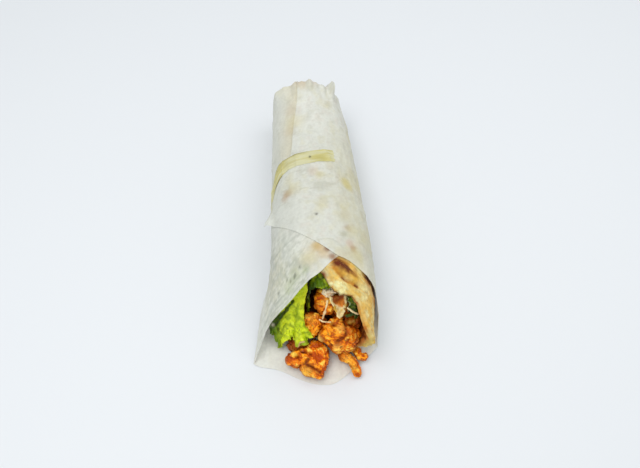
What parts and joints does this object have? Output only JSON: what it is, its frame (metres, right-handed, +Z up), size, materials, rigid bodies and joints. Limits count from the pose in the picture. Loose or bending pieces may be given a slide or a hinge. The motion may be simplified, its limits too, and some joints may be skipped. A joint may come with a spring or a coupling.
{
  "type": "chicken paratha roll",
  "caption": "Flatbread rolled round chicken and lettuce, wrapped in butter paper with a tape strip, lying on its side with the filling spilling from the open mouth.",
  "frame": {"origin": "middle of the overall outline seen from above, on the surface that the roll lies on", "axes": "+Y along the roll from the open mouth to the folded end, +Z up"},
  "size_m": [0.0839, 0.2285, 0.0625],
  "materials": {
    "paper": "thin translucent butter paper with soft creases",
    "tape": "yellowish clear tape",
    "paratha": "flaky pan-fried flatbread, pale with toasted blisters",
    "lettuce": "bright crisp leaf with a frilled edge",
    "lettuce_dark": "darker leaf in shade",
    "chicken": "moist orange-brown spiced chicken",
    "chicken_dark": "moist dark sauced chicken",
    "cabbage": "pale moist shreds",
    "mayo": "creamy white"
  },
  "bodies": {
    "root": {"paper_wrap": "paper", "tape_strip": "tape", "paratha": "paratha", "paratha_flake": "paratha", "lettuce_large": "lettuce", "lettuce_back": "lettuce_dark", "lettuce_right": "lettuce_dark", "chicken_filling": "chicken", "chicken_upper": "chicken", "chicken_inner": "chicken", "chicken_small": "chicken", "chicken_big": "chicken", "chicken_front": "chicken", "chicken_strip": "chicken", "chicken_shaving": "chicken", "chicken_left": "chicken_dark", "chicken_right": "chicken_dark", "mayo_dab": "mayo", "cabbage_shred_1": "cabbage", "cabbage_shred_2": "cabbage", "cabbage_shred_3": "cabbage", "cabbage_shred_4": "cabbage"}
  },
  "joints": []
}
